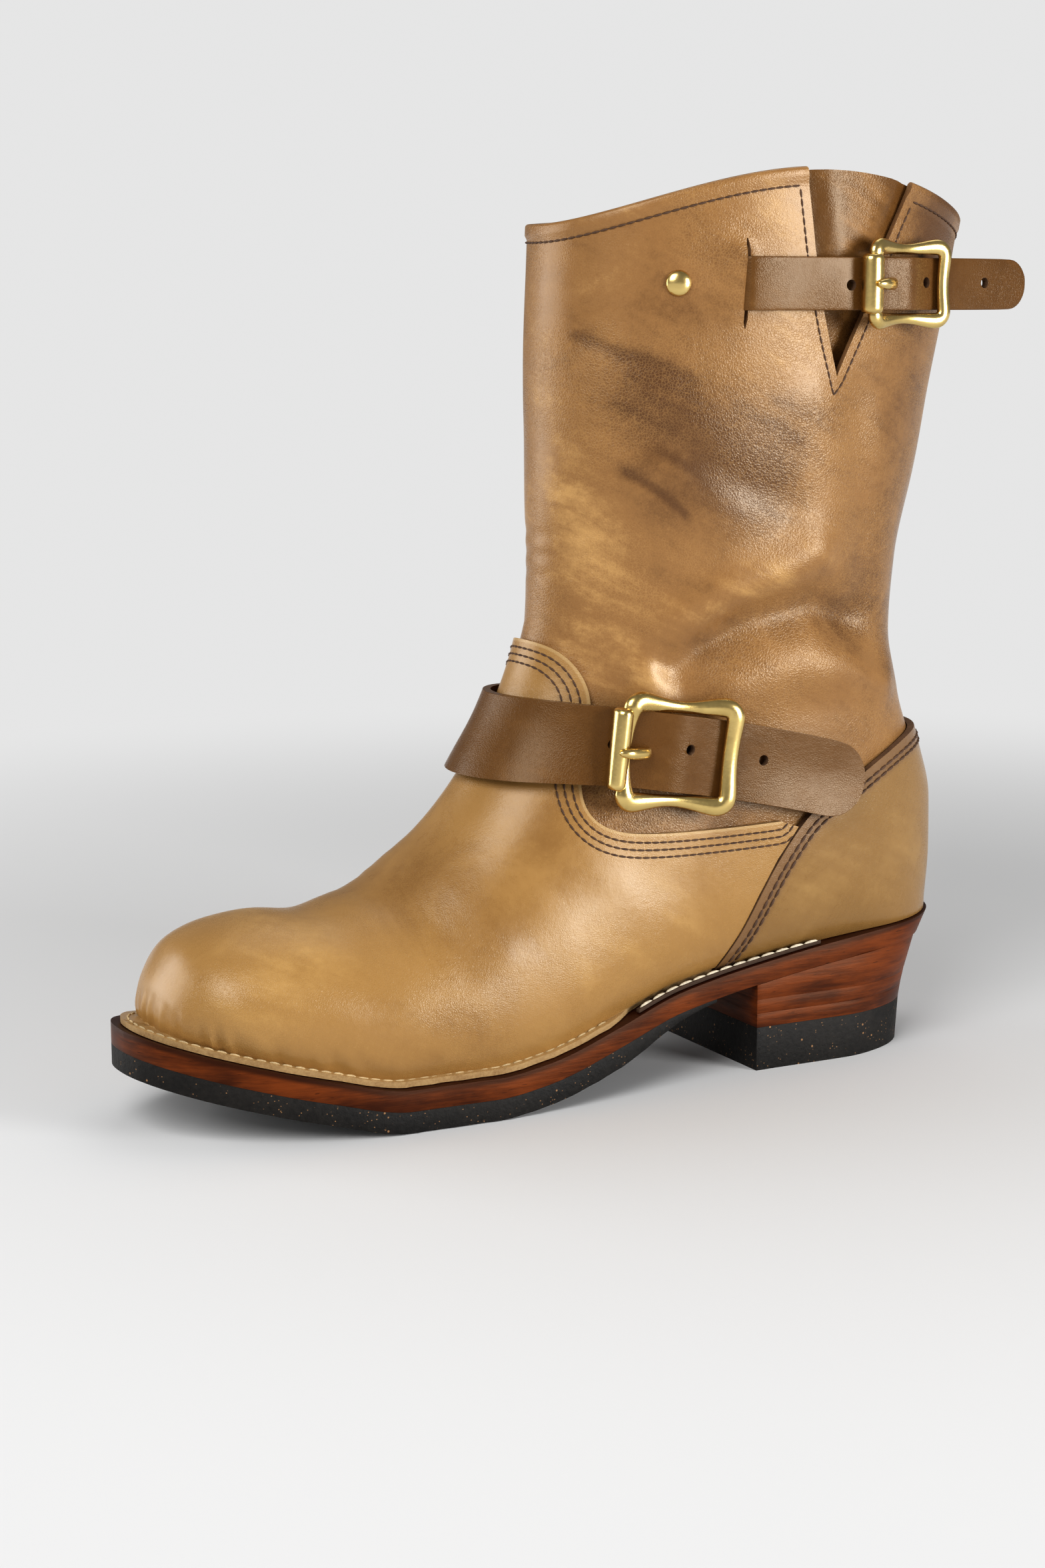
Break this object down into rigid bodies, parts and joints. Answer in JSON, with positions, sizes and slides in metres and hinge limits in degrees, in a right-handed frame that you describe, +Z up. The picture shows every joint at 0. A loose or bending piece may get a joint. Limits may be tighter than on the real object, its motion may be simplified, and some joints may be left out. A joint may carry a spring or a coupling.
{
  "type": "engineer boot",
  "caption": "Left pull-on engineer boot: hollow leather upper with vamp, heel counter and shaft gusset, buckled ankle and shaft straps, layered sole and stacked heel.",
  "frame": {"origin": "middle of the heel's tread, on the plane that the boot stands on", "axes": "+X towards the toe, +Y towards the outer side of the left foot, +Z up"},
  "size_m": [0.3354, 0.1158, 0.3179],
  "materials": {
    "shaft_leather": "tan pull-up leather with darker mottling",
    "vamp_leather": "light golden tan leather, satin",
    "counter_leather": "light golden tan leather, satin",
    "strap_leather": "brown leather with smooth dark edges",
    "insole_leather": "plain vegetable-tanned leather, matt",
    "midsole_leather": "red-brown burnished edge",
    "heel_leather": "red-brown burnished stacked leather",
    "rand_leather": "dark brown leather, matt",
    "sole_rubber": "black cork-filled rubber, matt",
    "buckle_brass": "satin brass"
  },
  "bodies": {
    "root": {"upper": "shaft_leather", "vamp": "vamp_leather", "counter": "counter_leather", "gusset": "shaft_leather", "back_stay": "shaft_leather", "insole": "insole_leather", "midsole": "midsole_leather", "outsole": "sole_rubber", "heel_lift_1": "heel_leather", "heel_lift_2": "heel_leather", "heel_lift_3": "heel_leather", "heel_top_lift": "sole_rubber", "shank_rand_lateral": "rand_leather", "shank_rand_medial": "rand_leather", "ankle_strap": "strap_leather", "ankle_keeper_strap": "strap_leather", "ankle_buckle": "buckle_brass", "ankle_buckle_roller": "buckle_brass", "ankle_buckle_prong": "buckle_brass", "shaft_strap": "strap_leather", "shaft_buckle_tab": "strap_leather", "shaft_buckle": "buckle_brass", "shaft_buckle_roller": "buckle_brass", "shaft_buckle_prong": "buckle_brass", "shaft_rivet": "buckle_brass"}
  },
  "joints": []
}
